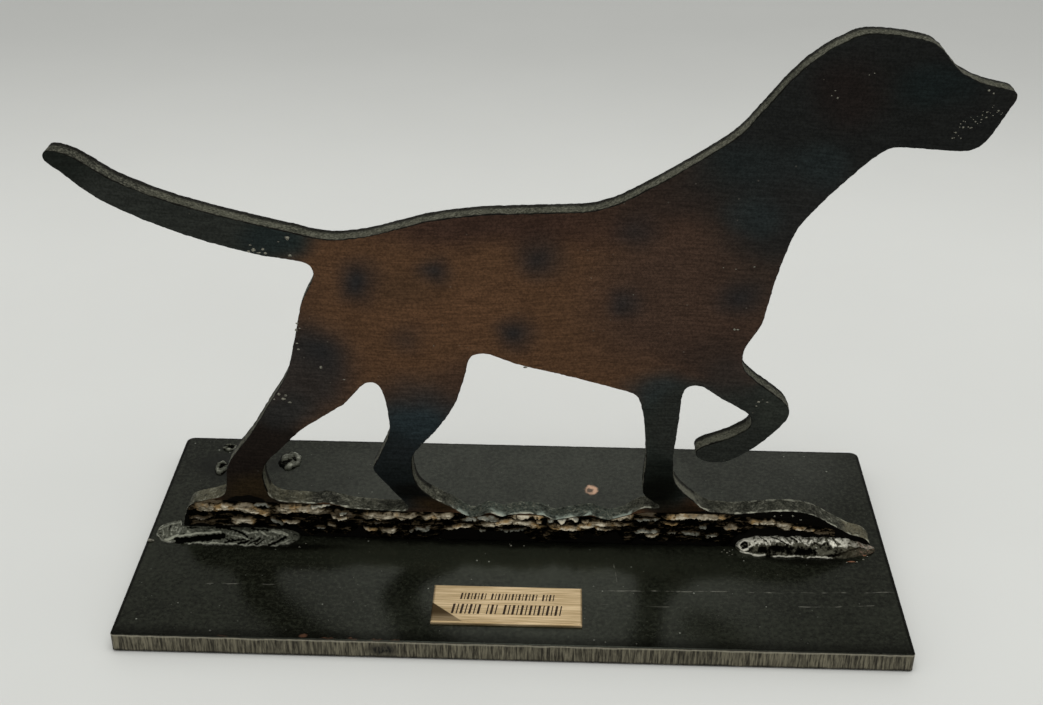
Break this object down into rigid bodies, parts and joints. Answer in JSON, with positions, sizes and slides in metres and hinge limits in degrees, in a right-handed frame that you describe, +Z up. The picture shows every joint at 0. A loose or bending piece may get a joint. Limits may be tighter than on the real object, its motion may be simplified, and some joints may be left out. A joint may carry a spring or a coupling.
{
  "type": "metal dog sculpture",
  "caption": "Walking hound silhouette cut from thick steel plate, one foreleg raised, welded upright along a flat steel base with a small brass nameplate.",
  "frame": {"origin": "centre of the base plate's underside", "axes": "+Z up, +X from tail to nose, -Y towards the side that the nameplate faces"},
  "size_m": [0.2588, 0.1016, 0.1704],
  "materials": {
    "heat_patina": "sanded steel with brown and blue-black heat colours, satin",
    "mill_scale": "black mill scale, satin",
    "scorched_weld": "rough layered weld, scorched golden brown and black",
    "weld_metal": "bare rippled weld metal",
    "brass": "satin brass"
  },
  "bodies": {
    "root": {"base_plate": "mill_scale", "dog_plate": "heat_patina", "ground_weld": "scorched_weld", "weld_left": "weld_metal", "weld_right": "weld_metal", "weld_spot_ring": "weld_metal", "weld_spot_slot": "weld_metal", "weld_spot_disc": "weld_metal", "nameplate": "brass"}
  },
  "joints": []
}
